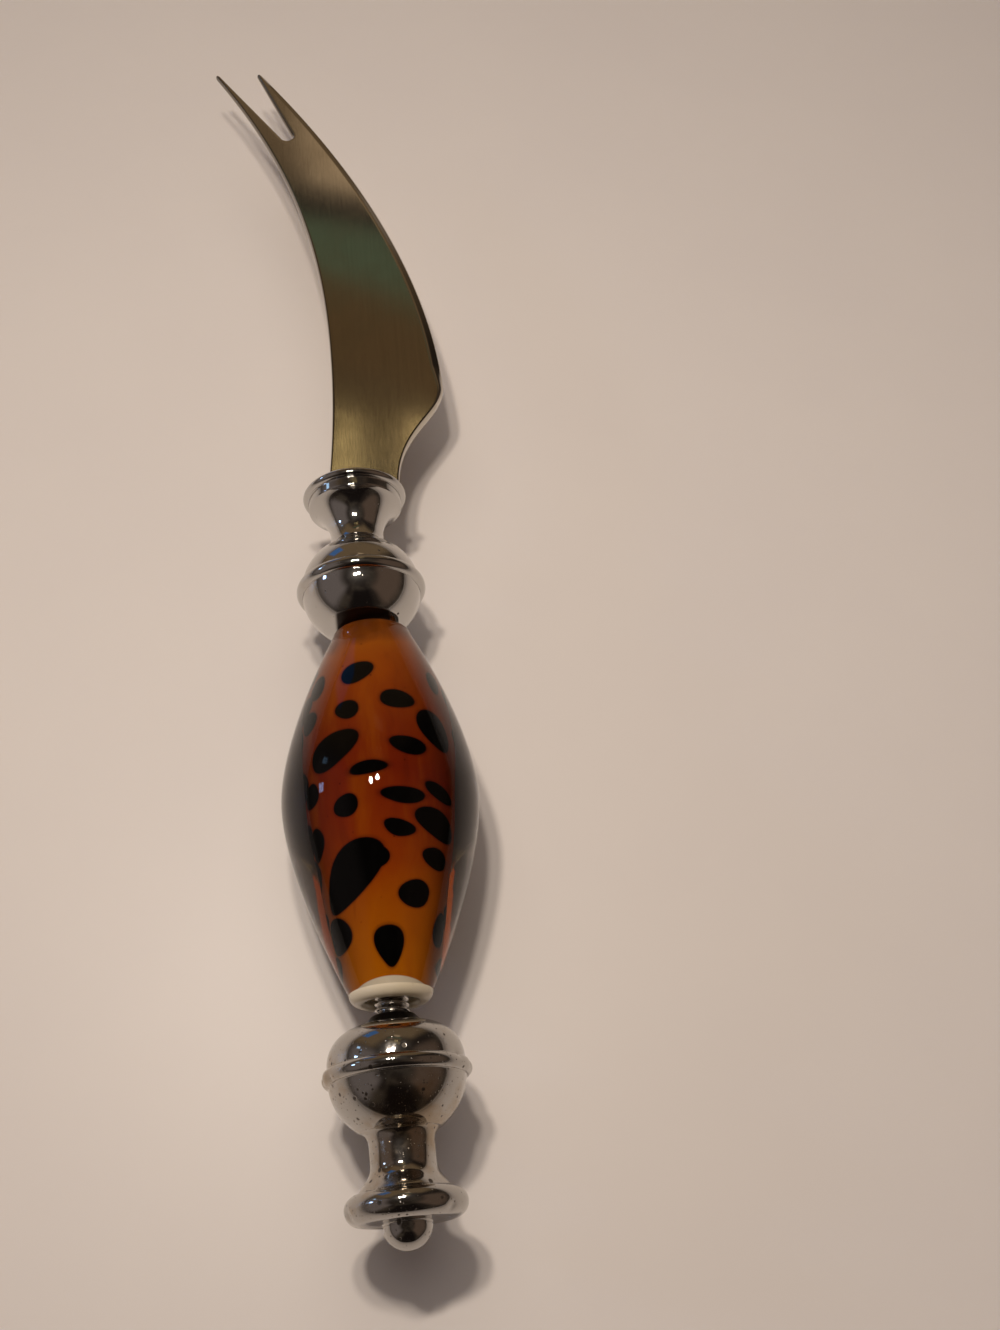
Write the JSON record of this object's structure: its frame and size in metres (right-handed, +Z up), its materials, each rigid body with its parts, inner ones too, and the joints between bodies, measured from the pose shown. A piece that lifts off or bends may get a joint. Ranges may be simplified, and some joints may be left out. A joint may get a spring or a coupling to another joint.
{
  "type": "cheese knife",
  "caption": "Curved fork-tipped cheese knife: a ground steel blade in a plated ferrule, and a patterned glass bead held on the handle's rod by a finial that unscrews.",
  "frame": {"origin": "middle of the underside of the box round the part, on the surface that the bead lies on", "axes": "+Y along the rod from the finial to the prongs, +Z up out of the blade's flat side, +X towards the cutting edge"},
  "size_m": [0.0314, 0.18, 0.0243],
  "materials": {
    "blade_steel": "satin",
    "ferrule_plating": "polished",
    "rod_steel": "rolled thread",
    "white_glass": "opaque, fire polished",
    "amber_glass": "streaked, spotted with black",
    "clear_glass": "fire polished",
    "finial_plating": "polished, pitted"
  },
  "bodies": {
    "handle": {"blade": "blade_steel", "front_ferrule": "ferrule_plating", "rod": "rod_steel"},
    "bead": {"bead_core": "white_glass", "bead_amber": "amber_glass", "bead_casing": "clear_glass"},
    "finial": {"finial": "finial_plating"}
  },
  "joints": [
    {"name": "bead_turn", "type": "hinge", "parent": "handle", "child": "bead", "pos_m": [0.0019, -0.0396, 0.01215], "axis": [0, -1, 0], "range_deg": [-1080, 4320]},
    {"name": "finial_travel", "type": "slide", "parent": "bead", "child": "finial", "axis": [0, -1, 0], "range_m": [-0.00211, 0.00841]}
  ],
  "couplings": [
    {"joint": "finial_travel", "follows": "bead_turn", "m_per_rad": 0.00011141}
  ]
}
